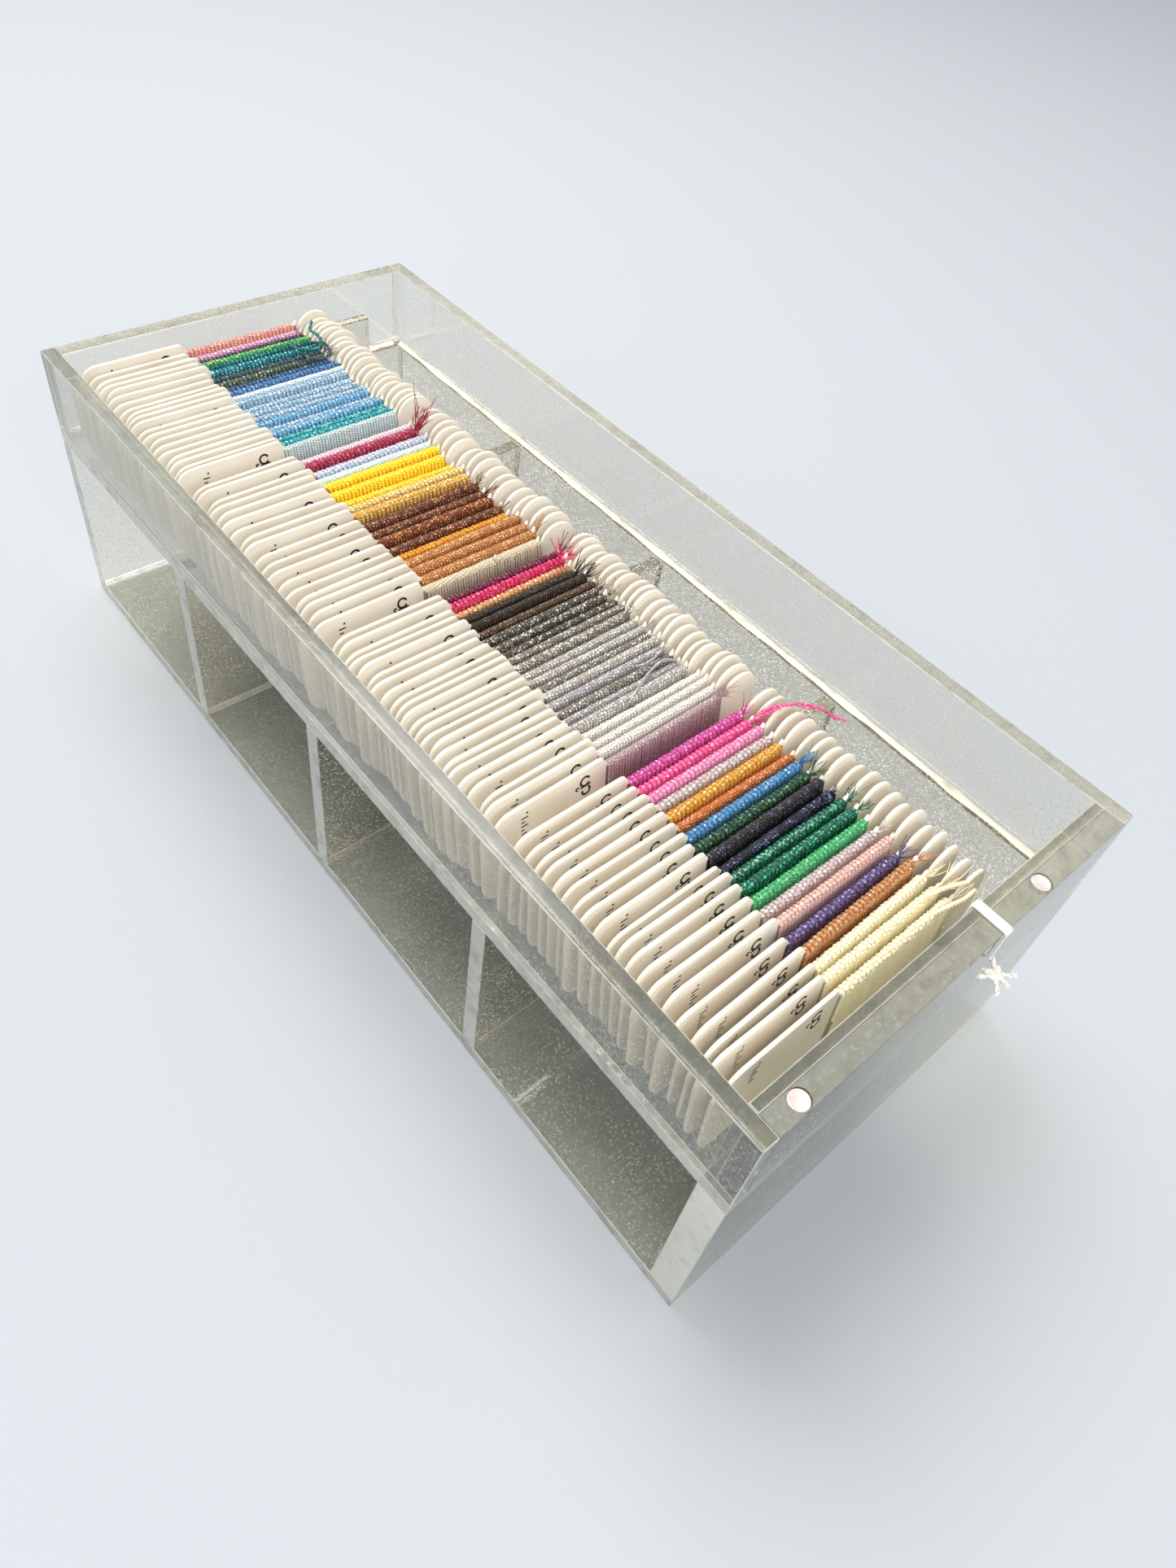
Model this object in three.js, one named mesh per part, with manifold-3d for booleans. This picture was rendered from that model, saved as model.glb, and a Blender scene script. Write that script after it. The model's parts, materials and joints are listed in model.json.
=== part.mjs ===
// Two-level clear acrylic bobbin box: a base with four open cubbies under a lift-off tray that
// holds a row of wound thread cards. Millimetres, +Z up. +X runs towards the magnet end, -Y is
// the open front. The origin is the centre of the footprint, on the table.
import * as THREE from 'three';
import { mergeVertices } from 'three/addons/utils/BufferGeometryUtils.js';
import Module from 'manifold-3d';

const wasm = await Module();
wasm.setup();

// ---- driving dimensions ----
const LENGTH = 338;
const DEPTH = 143;
const HEIGHT = 105;
const SHEET = 5;             // floors, front and back walls
const FAR_PANEL = 6;         // end panel and tray wall at the far end
const NEAR_PANEL = 9;        // thicker end panel of the base at the magnet end
const DIVIDER = 5.5;
const CUBBIES = 4;
const TRAY_UNDERSIDE = 70;
const LIFT_GAP = 0.2;        // the tray rests on the base without glue

const INNER_WALL = 3;        // tray wall at the magnet end, in front of its end block
const END_BLOCK = 6;

const MAGNET = { radius: 2.6, height: 3, inset: 0.4 };
const MAGNET_CENTRES_Y = [-57.5, 32];
const POCKET_CLEARANCE = 0.3;
const ROUND_STEPS = 20;      // sides of a magnet and of its pocket
const CUT_PAST = 1;          // how far a cutting tool stands out of the face it cuts
const STOP = { low: 19.5, high: 50.5, thick: 4, height: 16, magnetY: 24, magnetZ: 11.5, magnetThick: 2 };

const CARD = {
  length: 96, height: 27.8, thick: 1, head: 37, tongue: 15, outerCorner: 6, innerCorner: 2,
};
const CARD_FRONT = -65.5;    // front end of every card
const CARD_LIFT = 0.2;       // clearance over the tray floor
const LEAN = THREE.MathUtils.degToRad(8);
const WINDING = { overlap: 0.4, height: 23.4, chamfer: 1.1 };
const NEIGHBOUR_GAP = 0.3;

// Flat cotton tape, up the inside of the magnet-end wall, over the rim and down the outside.
// Its route is the middle of its thickness, in x and z.
const TAPE = { y: 12.5, width: 2.8, thick: 0.7, edge: 0.2, steps: 34 };
const TAPE_ROUTE = [
  [159.5, 82], [159.5, 88], [159.5, 94], [159.5, 100], [159.5, 104.4], [159.53, 105.05],
  [159.68, 105.4], [160, 105.6], [160.5, 105.62], [163, 105.6], [166, 105.6], [168.5, 105.62],
  [169, 105.6], [169.32, 105.4], [169.47, 105.05], [169.5, 104.4], [169.5, 99], [169.5, 93.5],
];
const KNOT = { x: 172.6, z: 90.2, radius: [2.2, 3, 2.6] };

// Bobbin cards, far end first. Each bay is a run of cards from one x to another (measured at
// the foot of the card), and each number is how many neighbouring cards one solid joins.
const BAYS = [
  { from: -152, to: -83, joined: [2, 2, 2, 2, 2, 2, 2, 2, 2, 3], colors: [
    '#d98877', '#3b3552', '#1d7f72', '#2f6f78', '#30405c', '#2f62a8', '#87abd6', '#8bb0d8',
    '#5f9fd0', '#6fb9c0'] },
  { from: -77, to: -3, joined: [2, 2, 2, 2, 2, 2, 2, 2, 2], colors: [
    '#b04f63', '#ccd0d8', '#f0c419', '#e3b54a', '#b98d45', '#6a4128', '#7a4526', '#c98232',
    '#c9b190'] },
  { from: 3, to: 77, joined: [2, 2, 2, 2, 2, 2, 2, 2, 2, 2, 3], colors: [
    '#b8335e', '#8f6a4e', '#3a302c', '#555553', '#6c6b69', '#7d7b7a', '#8d8b8c', '#9a979b',
    '#a5a1ab', '#c4c0c0', '#b39ba4'] },
  { from: 83, to: 155.4, joined: [2, 2, 2, 2, 2, 2, 2, 2, 2, 2], colors: [
    '#d2469b', '#e080a0', '#c98a3a', '#3b76b4', '#2b4a3c', '#262b45', '#2f9350', '#c3aeae',
    '#7c6486', '#e8dcb4'] },
];

// ---- derived sizes ----
const X_FAR = -LENGTH / 2;
const X_NEAR = LENGTH / 2;
const Y_FRONT = -DEPTH / 2;
const Y_BACK = DEPTH / 2;
const TRAY_FLOOR_TOP = TRAY_UNDERSIDE + SHEET;
const PANEL_TOP = TRAY_UNDERSIDE - LIFT_GAP;
const NEAR_WALL_X = X_NEAR - END_BLOCK - INNER_WALL;

// ---- materials ----
function plain(color, roughness, metalness = 0) {
  return new THREE.MeshStandardMaterial({ color, roughness, metalness });
}
const ACRYLIC = new THREE.MeshStandardMaterial({
  color: '#dfe4e0', roughness: 0.05, metalness: 0, transparent: true, opacity: 0.35,
});
const MAGNET_FACE = plain('#e6d9d2', 0.35, 0.4);
const DARK_MAGNET = plain('#4a4242', 0.4, 0.6);
const COTTON = plain('#f6f2ea', 0.9);

// ---- helpers ----
function named(name, geometry, material) {
  const mesh = new THREE.Mesh(geometry, material);
  mesh.name = name;
  return mesh;
}

// A box from its lowest corner to its highest corner.
function slab(name, low, high, material = ACRYLIC) {
  const size = high.map((value, axis) => value - low[axis]);
  const mesh = named(name, new THREE.BoxGeometry(...size), material);
  mesh.position.set(...high.map((value, axis) => (value + low[axis]) / 2));
  return mesh;
}

function toSolid(geometry) {
  const bare = geometry.clone();
  bare.deleteAttribute('normal');
  bare.deleteAttribute('uv');
  const merged = mergeVertices(bare, 1e-4);
  return new wasm.Manifold(new wasm.Mesh({
    numProp: 3,
    vertProperties: new Float32Array(merged.attributes.position.array),
    triVerts: new Uint32Array(merged.index.array),
  }));
}

function toGeometry(solid) {
  const { vertProperties, triVerts } = solid.getMesh();
  const geometry = new THREE.BufferGeometry();
  geometry.setAttribute('position', new THREE.BufferAttribute(vertProperties, 3));
  geometry.setIndex(new THREE.BufferAttribute(triVerts, 1));
  return geometry;
}

// Turns a shape drawn in (y, z) and extruded by its thickness to stand across the X axis.
function standAcrossX(geometry) {
  return geometry.applyMatrix4(new THREE.Matrix4().makeBasis(
    new THREE.Vector3(0, 1, 0), new THREE.Vector3(0, 0, 1), new THREE.Vector3(1, 0, 0)));
}

// Turns a shape drawn in (z, x) and extruded by its length to lie along the Y axis.
function layAlongY(geometry) {
  return geometry.applyMatrix4(new THREE.Matrix4().makeBasis(
    new THREE.Vector3(0, 0, 1), new THREE.Vector3(1, 0, 0), new THREE.Vector3(0, 1, 0)));
}

// ---- base ----
function dividerCentre(index) {
  const inside = LENGTH - FAR_PANEL - NEAR_PANEL;
  return X_FAR + FAR_PANEL + inside * index / CUBBIES;
}

function makeBase() {
  const base = new THREE.Group();
  base.add(slab('base_floor', [X_FAR, Y_FRONT, 0], [X_NEAR, Y_BACK, SHEET]));
  base.add(slab('base_far_panel', [X_FAR, Y_FRONT, SHEET], [X_FAR + FAR_PANEL, Y_BACK, PANEL_TOP]));
  base.add(slab('base_near_panel', [X_NEAR - NEAR_PANEL, Y_FRONT, SHEET], [X_NEAR, Y_BACK, PANEL_TOP]));
  base.add(slab('base_back_panel', [X_FAR + FAR_PANEL, Y_BACK - SHEET, SHEET],
    [X_NEAR - NEAR_PANEL, Y_BACK, PANEL_TOP]));
  for (let index = 1; index < CUBBIES; index += 1) {
    const centre = dividerCentre(index);
    base.add(slab(`base_divider_${index}`, [centre - DIVIDER / 2, Y_FRONT, SHEET],
      [centre + DIVIDER / 2, Y_BACK - SHEET, PANEL_TOP]));
  }
  return base;
}

// ---- tray ----
// The tool that cuts a magnet's pocket, standing along Y and centred on the origin.
function pocketTool(depth) {
  const radius = MAGNET.radius + POCKET_CLEARANCE;
  return new THREE.CylinderGeometry(radius, radius, depth + CUT_PAST, ROUND_STEPS);
}

function makeEndBlock() {
  const height = HEIGHT - TRAY_FLOOR_TOP;
  const depth = MAGNET.height + MAGNET.inset;
  let solid = toSolid(new THREE.BoxGeometry(END_BLOCK, DEPTH - 2 * SHEET, height));
  for (const y of MAGNET_CENTRES_Y) {
    const tool = pocketTool(depth).rotateX(Math.PI / 2);
    solid = solid.subtract(toSolid(tool.translate(0, y, (height - depth + CUT_PAST) / 2)));
  }
  const block = named('tray_end_block', toGeometry(solid), ACRYLIC);
  block.position.set(X_NEAR - END_BLOCK / 2, 0, TRAY_FLOOR_TOP + height / 2);
  return block;
}

function makeEndMagnet(name, y) {
  const disc = new THREE.CylinderGeometry(MAGNET.radius, MAGNET.radius, MAGNET.height, ROUND_STEPS);
  const mesh = named(name, disc.rotateX(Math.PI / 2), MAGNET_FACE);
  mesh.position.set(X_NEAR - END_BLOCK / 2, y, HEIGHT - MAGNET.inset - MAGNET.height / 2);
  return mesh;
}

// Small clear block on the tray floor at the far wall, with a disc magnet in its inner face.
function makeFarStop() {
  const faceX = X_FAR + FAR_PANEL + STOP.thick;
  const middle = new THREE.Vector3(
    faceX - STOP.thick / 2, (STOP.low + STOP.high) / 2, TRAY_FLOOR_TOP + STOP.height / 2);
  const body = new THREE.BoxGeometry(STOP.thick, STOP.high - STOP.low, STOP.height);
  const tool = pocketTool(STOP.magnetThick).rotateZ(Math.PI / 2);
  tool.translate((STOP.thick - STOP.magnetThick + CUT_PAST) / 2, STOP.magnetY - middle.y,
    TRAY_FLOOR_TOP + STOP.magnetZ - middle.z);
  const block = named('far_stop_block', toGeometry(toSolid(body).subtract(toSolid(tool))), ACRYLIC);
  block.position.copy(middle);

  const thick = STOP.magnetThick - POCKET_CLEARANCE;
  const disc = new THREE.CylinderGeometry(MAGNET.radius, MAGNET.radius, thick, ROUND_STEPS);
  const magnet = named('far_stop_magnet', disc.rotateZ(Math.PI / 2), DARK_MAGNET);
  magnet.position.set(faceX - thick / 2, STOP.magnetY, TRAY_FLOOR_TOP + STOP.magnetZ);
  return [block, magnet];
}

function makeTray() {
  const tray = new THREE.Group();
  const innerFront = Y_FRONT + SHEET;
  const innerBack = Y_BACK - SHEET;
  tray.add(slab('tray_floor', [X_FAR, Y_FRONT, TRAY_UNDERSIDE], [X_NEAR, Y_BACK, TRAY_FLOOR_TOP]));
  tray.add(slab('tray_front_wall', [X_FAR, Y_FRONT, TRAY_FLOOR_TOP], [X_NEAR, innerFront, HEIGHT]));
  tray.add(slab('tray_back_wall', [X_FAR, innerBack, TRAY_FLOOR_TOP], [X_NEAR, Y_BACK, HEIGHT]));
  tray.add(slab('tray_far_wall', [X_FAR, innerFront, TRAY_FLOOR_TOP],
    [X_FAR + FAR_PANEL, innerBack, HEIGHT]));
  tray.add(slab('tray_near_wall', [NEAR_WALL_X, innerFront, TRAY_FLOOR_TOP],
    [NEAR_WALL_X + INNER_WALL, innerBack, HEIGHT]));
  tray.add(makeEndBlock());
  tray.add(makeEndMagnet('end_magnet_front', MAGNET_CENTRES_Y[0]));
  tray.add(makeEndMagnet('end_magnet_back', MAGNET_CENTRES_Y[1]));
  tray.add(...makeFarStop());
  return tray;
}

// ---- bobbin cards ----
// The head of a card in (y, z): large corners outside, small ones beside the thread.
function headOutline() {
  const outer = CARD.outerCorner;
  const inner = CARD.innerCorner;
  const shape = new THREE.Shape();
  shape.moveTo(outer, 0);
  shape.lineTo(CARD.head - inner, 0);
  shape.lineTo(CARD.head, inner);
  shape.lineTo(CARD.head, CARD.height - inner);
  shape.lineTo(CARD.head - inner, CARD.height);
  shape.absarc(outer, CARD.height - outer, outer, Math.PI / 2, Math.PI);
  shape.absarc(outer, outer, outer, Math.PI, Math.PI * 1.5);
  return shape;
}

// The tongue at the other end of a card: round at its top and its bottom.
function tongueOutline() {
  const round = CARD.tongue / 2;
  const centre = CARD.length - round;
  const shape = new THREE.Shape();
  shape.absarc(centre, round, round, Math.PI, Math.PI * 1.5);
  shape.absarc(centre, round, round, Math.PI * 1.5, Math.PI * 2);
  shape.absarc(centre, CARD.height - round, round, 0, Math.PI / 2);
  shape.absarc(centre, CARD.height - round, round, Math.PI / 2, Math.PI);
  return shape;
}

function plate(outline, x) {
  const sheet = new THREE.ExtrudeGeometry(outline,
    { depth: CARD.thick, bevelEnabled: false, curveSegments: 2 });
  return standAcrossX(sheet).translate(x - CARD.thick / 2, 0, 0);
}

// The thread wound on neighbouring cards: a chamfered block from each head to its tongue.
function windingBlock(fromX, toX) {
  const low = (CARD.height - WINDING.height) / 2;
  const high = low + WINDING.height;
  const cut = WINDING.chamfer;
  const shape = new THREE.Shape([
    [low, fromX + cut], [low, toX - cut], [low + cut, toX], [high - cut, toX],
    [high, toX - cut], [high, fromX + cut], [high - cut, fromX], [low + cut, fromX],
  ].map(([z, x]) => new THREE.Vector2(z, x)));
  const length = CARD.length - CARD.head - CARD.tongue + 2 * WINDING.overlap;
  const block = new THREE.ExtrudeGeometry(shape, { depth: length, bevelEnabled: false });
  return layAlongY(block).translate(0, CARD.head - WINDING.overlap, 0);
}

// Neighbouring cards as one solid, leaning back towards the far end.
function bobbinGeometry(pitch, count) {
  const half = pitch * count / 2 - NEIGHBOUR_GAP / 2;
  let solid = toSolid(windingBlock(-half, half));
  for (let index = 0; index < count; index += 1) {
    const x = (index - (count - 1) / 2) * pitch;
    solid = solid.add(toSolid(plate(headOutline(), x))).add(toSolid(plate(tongueOutline(), x)));
  }
  const lean = new THREE.Matrix4().makeShear(0, 0, 0, 0, -Math.tan(LEAN), 0);
  return toGeometry(solid).applyMatrix4(lean);
}

function makeBobbins() {
  const bobbins = new THREE.Group();
  let number = 0;
  for (const bay of BAYS) {
    const cards = bay.joined.reduce((sum, count) => sum + count, 0);
    const pitch = (bay.to - bay.from) / (cards - 1);
    let placed = 0;
    bay.joined.forEach((count, index) => {
      number += 1;
      const name = `bobbins_${String(number).padStart(2, '0')}`;
      const mesh = named(name, bobbinGeometry(pitch, count), plain(bay.colors[index], 0.6));
      const centre = bay.from + (placed + (count - 1) / 2) * pitch;
      mesh.position.set(centre, CARD_FRONT, TRAY_FLOOR_TOP + CARD_LIFT);
      bobbins.add(mesh);
      placed += count;
    });
  }
  return bobbins;
}

// ---- cotton tape over the magnet-end wall, and its knot ----
// The section is a flat eight-sided band; the first number runs across its width.
function makeTape() {
  const across = TAPE.width / 2;
  const half = TAPE.thick / 2;
  const edge = TAPE.edge;
  const section = new THREE.Shape([
    [across, half - edge], [across - edge, half], [edge - across, half], [-across, half - edge],
    [-across, edge - half], [edge - across, -half], [across - edge, -half], [across, edge - half],
  ].map(([wide, deep]) => new THREE.Vector2(wide, deep)));
  const route = new THREE.CatmullRomCurve3(
    TAPE_ROUTE.map(([x, z]) => new THREE.Vector3(x, TAPE.y, z)), false, 'centripetal');
  const band = new THREE.ExtrudeGeometry(section, { steps: TAPE.steps, extrudePath: route });
  return named('string_tape', band, COTTON);
}

function makeKnot() {
  const ball = new THREE.SphereGeometry(1, 10, 7);
  ball.scale(...KNOT.radius);
  const mesh = named('string_knot', ball, COTTON);
  mesh.position.set(KNOT.x, TAPE.y, KNOT.z);
  return mesh;
}

const bobbinBox = new THREE.Group();
bobbinBox.add(makeBase(), makeTray(), makeBobbins(), makeTape(), makeKnot());

export default bobbinBox;
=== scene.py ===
"""Two-level clear acrylic bobbin box: wound thread cards in a lift-off tray over four open cubbies."""

import json
import math
import random

import bmesh
import bpy
from mathutils import Matrix, Vector


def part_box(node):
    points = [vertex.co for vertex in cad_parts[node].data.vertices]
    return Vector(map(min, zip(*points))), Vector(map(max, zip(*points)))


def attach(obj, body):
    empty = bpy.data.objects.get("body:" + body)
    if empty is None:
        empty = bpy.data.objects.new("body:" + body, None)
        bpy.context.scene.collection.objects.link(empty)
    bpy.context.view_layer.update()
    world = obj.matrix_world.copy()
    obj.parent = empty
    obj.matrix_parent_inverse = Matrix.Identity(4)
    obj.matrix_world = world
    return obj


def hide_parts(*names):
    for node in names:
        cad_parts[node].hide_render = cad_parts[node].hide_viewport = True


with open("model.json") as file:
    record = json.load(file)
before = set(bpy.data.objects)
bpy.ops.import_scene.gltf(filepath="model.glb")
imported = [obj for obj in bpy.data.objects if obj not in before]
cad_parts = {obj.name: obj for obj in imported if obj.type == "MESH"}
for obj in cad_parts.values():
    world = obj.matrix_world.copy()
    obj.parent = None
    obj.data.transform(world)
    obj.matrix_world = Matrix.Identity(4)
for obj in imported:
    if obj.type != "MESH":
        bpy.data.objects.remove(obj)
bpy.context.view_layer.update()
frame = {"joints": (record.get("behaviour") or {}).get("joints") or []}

MM = 0.001


# ------------------------------------------------------------------ camera
def make_camera():
    """Looks down on the magnet end and the open front."""
    data = bpy.data.cameras.new("camera")
    data.lens = 25.386
    data.sensor_width = 36
    data.shift_x = -0.0006
    data.shift_y = -0.0451
    data.clip_start = 0.01
    camera = bpy.data.objects.new("camera", data)
    camera.location = (0.19322, -0.17105, 0.31509)
    camera.rotation_euler = [math.radians(turn) for turn in (42.767, -7.011, 49.539)]
    bpy.context.scene.collection.objects.link(camera)
    bpy.context.scene.camera = camera


make_camera()


# ------------------------------------------------------------------ node and mesh helpers
class Nodes:
    """Adds nodes to a geometry or a material tree and links them as they are made."""

    def __init__(self, tree):
        self.tree = tree

    def put(self, socket, value):
        if isinstance(value, bpy.types.NodeSocket):
            self.tree.links.new(value, socket)
        elif value is not None:
            socket.default_value = value

    def add(self, kind, inputs=None, **settings):
        node = self.tree.nodes.new(kind)
        for name, value in settings.items():
            setattr(node, name, value)
        for name, value in (inputs or {}).items():
            self.put(node.inputs[name], value)
        return node

    def math(self, operation, first, second=None):
        return self.add("ShaderNodeMath", {0: first, 1: second}, operation=operation).outputs[0]

    def range(self, value, low, high, to_low=0.0, to_high=1.0):
        inputs = {"Value": value, "From Min": low, "From Max": high, "To Min": to_low, "To Max": to_high}
        return self.add("ShaderNodeMapRange", inputs).outputs[0]

    def mix(self, factor, first, second):
        """Two colours mixed; a mix node keeps its colour sockets at places 6 and 7 and its result at 2."""
        return self.add("ShaderNodeMix", {0: factor, 6: first, 7: second}, data_type="RGBA").outputs[2]

    def noise(self, place, scale, detail=2.0, **settings):
        return self.add("ShaderNodeTexNoise", {"Vector": place, "Scale": scale, "Detail": detail}, **settings)


def linear(code, alpha=1.0):
    """A colour written as #rrggbb, as the linear values that shaders take."""
    parts = [int(code[at:at + 2], 16) / 255 for at in (1, 3, 5)]
    return (*[part / 12.92 if part <= 0.04045 else ((part + 0.055) / 1.055) ** 2.4 for part in parts], alpha)


def new_object(name, data):
    made = bpy.data.objects.new(name, data)
    bpy.context.scene.collection.objects.link(made)
    return made


def new_piece(name, mesh, body, materials):
    """A visible piece with the given materials that rides on a body."""
    piece = new_object(name, mesh)
    for material in materials:
        mesh.materials.append(material)
    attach(piece, body)
    return piece


def bm_to_mesh(name, bm):
    mesh = bpy.data.meshes.new(name)
    bm.to_mesh(mesh)
    bm.free()
    return mesh


def shade_smooth(mesh, angle=35):
    mesh.polygons.foreach_set("use_smooth", [True] * len(mesh.polygons))
    mesh.set_sharp_from_angle(angle=math.radians(angle))


# ------------------------------------------------------------------ materials
def new_material(name):
    material = bpy.data.materials.new(name)
    material.use_nodes = True
    material.node_tree.nodes.clear()
    return material, Nodes(material.node_tree)


def finish_material(nodes, shader):
    nodes.add("ShaderNodeOutputMaterial", {"Surface": shader})


def object_place(nodes):
    return nodes.add("ShaderNodeTexCoord").outputs["Object"]


def bump(nodes, height, strength, distance):
    inputs = {"Height": height, "Strength": strength, "Distance": distance}
    return nodes.add("ShaderNodeBump", inputs).outputs[0]


ACRYLIC_IOR = 1.49
SHADOW_TINT = "#ecebe6"


def lets_lamps_through(nodes, shader):
    """Light from the lamps passes straight through clear sheet, so what stands in the box is lit."""
    path = nodes.add("ShaderNodeLightPath")
    clear = nodes.add("ShaderNodeBsdfTransparent", {"Color": linear(SHADOW_TINT)})
    inputs = {0: path.outputs["Is Shadow Ray"], 1: shader, 2: clear.outputs[0]}
    return nodes.add("ShaderNodeMixShader", inputs).outputs[0]


def cast_sheet(name, cast_and_shade_tint, dust_share):
    """Polished cast acrylic with a grey cast, fine wiping marks and specks of white dust and lint; the grey
    is the sheet's own cast in the clear copy and painted shade in the darker copies.
    """
    material, nodes = new_material(name)
    place = object_place(nodes)
    dots = nodes.add("ShaderNodeTexVoronoi", {"Vector": place, "Scale": 900.0})
    speck = nodes.range(dots.outputs["Distance"], 0.15, 0.38, 1.0, 0.0)
    patch = nodes.range(nodes.noise(place, 55.0, 3.0).outputs[0], 0.2, 0.62)
    dust = nodes.math("MULTIPLY", nodes.math("MULTIPLY", speck, patch), dust_share)
    wiping = nodes.add("ShaderNodeMapping", {"Vector": place, "Scale": (90.0, 900.0, 400.0)})
    marks = nodes.range(nodes.noise(wiping.outputs[0], 1.0, 3.0).outputs[0], 0.4, 0.85, 0.0, 0.05)
    sheet = nodes.add("ShaderNodeBsdfPrincipled", {
        "Base Color": nodes.mix(dust, linear(cast_and_shade_tint), linear("#fbf6ea")),
        "Roughness": nodes.math("ADD", nodes.math("MULTIPLY", dust, 0.5), marks),
        "IOR": ACRYLIC_IOR, "Transmission Weight": nodes.range(dust, 0.0, 1.0, 1.0, 0.1)})
    finish_material(nodes, lets_lamps_through(nodes, sheet.outputs[0]))
    return material


def worked_edge(name, pale, wetted, share, clear):
    """A worked sheet edge: frosted by the saw or scraper, darker in patches where cement has wetted it."""
    material, nodes = new_material(name)
    place = object_place(nodes)
    patch = nodes.range(nodes.noise(place, 190.0, 4.0).outputs[0], share, share + 0.2)
    grain = nodes.noise(place, 1500.0).outputs[0]
    edge = nodes.add("ShaderNodeBsdfPrincipled", {
        "Base Color": nodes.mix(patch, linear(pale), linear(wetted)),
        "Roughness": nodes.range(patch, 0.0, 1.0, 0.5 - 0.4 * clear, 0.12),
        "Normal": bump(nodes, grain, 0.25, 0.0001),
        "IOR": ACRYLIC_IOR, "Transmission Weight": clear})
    finish_material(nodes, lets_lamps_through(nodes, edge.outputs[0]))
    return material


def card_stock():
    """Cream uncoated board with soft fibres."""
    material, nodes = new_material("card_stock")
    place = object_place(nodes)
    fibre = nodes.noise(place, 2600.0, 3.0).outputs[0]
    blotch = nodes.range(nodes.noise(place, 70.0).outputs[0], 0.3, 0.7)
    colour = nodes.mix(blotch, linear("#f6eee0"), linear("#efe5d4"))
    worn = nodes.mix(nodes.range(fibre, 0.62, 0.8, 0.0, 0.35), colour, linear("#cdbfa9"))
    board = nodes.add("ShaderNodeBsdfPrincipled", {
        "Base Color": worn, "Roughness": nodes.range(fibre, 0.2, 0.8, 0.62, 0.85),
        "Normal": bump(nodes, fibre, 0.3, 0.00008)})
    finish_material(nodes, board.outputs[0])
    return material


def printing_ink():
    material, nodes = new_material("printing_ink")
    place = object_place(nodes)
    rub = nodes.range(nodes.noise(place, 1800.0).outputs[0], 0.55, 0.75)
    ink = nodes.add("ShaderNodeBsdfPrincipled", {
        "Base Color": nodes.mix(rub, linear("#1d1b1a"), linear("#4a4643")), "Roughness": 0.55})
    finish_material(nodes, ink.outputs[0])
    return material


PLY_TURNS = 7400.0 / math.tau      # twists of the plies in a metre of braid


def metallic_braid():
    """Braid of foil and yarn: twisted plies in the thread's own colour, with painted shade in the ply
    grooves, painted highlight on their crests and painted glints of a lighter colour where foil sits on a
    crest.
    """
    material, nodes = new_material("metallic_braid")
    place = object_place(nodes)
    own = nodes.add("ShaderNodeAttribute", attribute_name="thread_colour")
    painted_glint = nodes.add("ShaderNodeAttribute", attribute_name="thread_painted_glint")
    along = nodes.add("ShaderNodeAttribute", attribute_name="along").outputs["Fac"]
    around = nodes.add("ShaderNodeAttribute", attribute_name="around").outputs["Fac"]
    twist = nodes.math("MULTIPLY", along, PLY_TURNS * math.tau)
    turn = nodes.math("ADD", twist, nodes.math("MULTIPLY", around, math.tau))
    ply = nodes.range(nodes.math("SINE", turn), -1.0, 1.0)
    cells = nodes.add("ShaderNodeTexVoronoi", {"Vector": place, "Scale": 1900.0})
    chance = nodes.add("ShaderNodeSeparateColor", {0: cells.outputs["Color"]}).outputs[0]
    # Painted glints: a lighter colour is mixed in as painted highlight where a foil cell meets a ply crest,
    # and metallic and roughness change there too.
    foil_and_glint = nodes.math("GREATER_THAN", chance, nodes.range(painted_glint.outputs["Alpha"], 0.0, 1.0, 1.0, 0.62))
    lit = nodes.math("MULTIPLY", foil_and_glint, nodes.range(ply, 0.25, 0.75, 0.15, 0.9))
    uneven = nodes.math("MULTIPLY", nodes.noise(place, 900.0).outputs[0], 0.4)
    # Painted shade and highlight: the thread's colour is darkened in the ply grooves and brightened on the
    # crests.
    ply_shade_and_highlight = nodes.range(nodes.math("ADD", uneven, ply), 0.2, 1.2, 0.72, 1.18)
    shaded = nodes.add("ShaderNodeVectorMath", {0: own.outputs["Color"], "Scale": ply_shade_and_highlight}, operation="SCALE")
    colour = nodes.mix(lit, shaded.outputs[0], painted_glint.outputs["Color"])
    thread = nodes.add("ShaderNodeBsdfPrincipled", {
        "Base Color": colour,
        "Metallic": nodes.math("MULTIPLY", painted_glint.outputs["Alpha"], nodes.range(lit, 0.0, 1.0, 0.2, 0.7)),
        "Roughness": nodes.range(lit, 0.0, 1.0, 0.5, 0.3),
        "Normal": bump(nodes, ply, 0.5, 0.00015)})
    finish_material(nodes, thread.outputs[0])
    return material


def soft_cotton():
    material, nodes = new_material("soft_cotton")
    place = object_place(nodes)
    fuzz = nodes.noise(place, 2400.0, 3.0).outputs[0]
    cotton = nodes.add("ShaderNodeBsdfPrincipled", {
        "Base Color": nodes.mix(nodes.range(fuzz, 0.3, 0.7), linear("#e9e4d8"), linear("#fbf9f3")),
        "Roughness": 0.9, "Sheen Weight": 0.25, "Normal": bump(nodes, fuzz, 0.5, 0.00012)})
    finish_material(nodes, cotton.outputs[0])
    return material


def plated_disc(name, bright, shadow, metallic, roughness):
    material, nodes = new_material(name)
    place = object_place(nodes)
    stain = nodes.range(nodes.noise(place, 500.0, 3.0).outputs[0], 0.35, 0.7)
    disc = nodes.add("ShaderNodeBsdfPrincipled", {
        "Base Color": nodes.mix(stain, linear(bright), linear(shadow)), "Metallic": metallic,
        "Roughness": nodes.range(stain, 0.0, 1.0, roughness, roughness + 0.2)})
    finish_material(nodes, disc.outputs[0])
    return material


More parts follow.
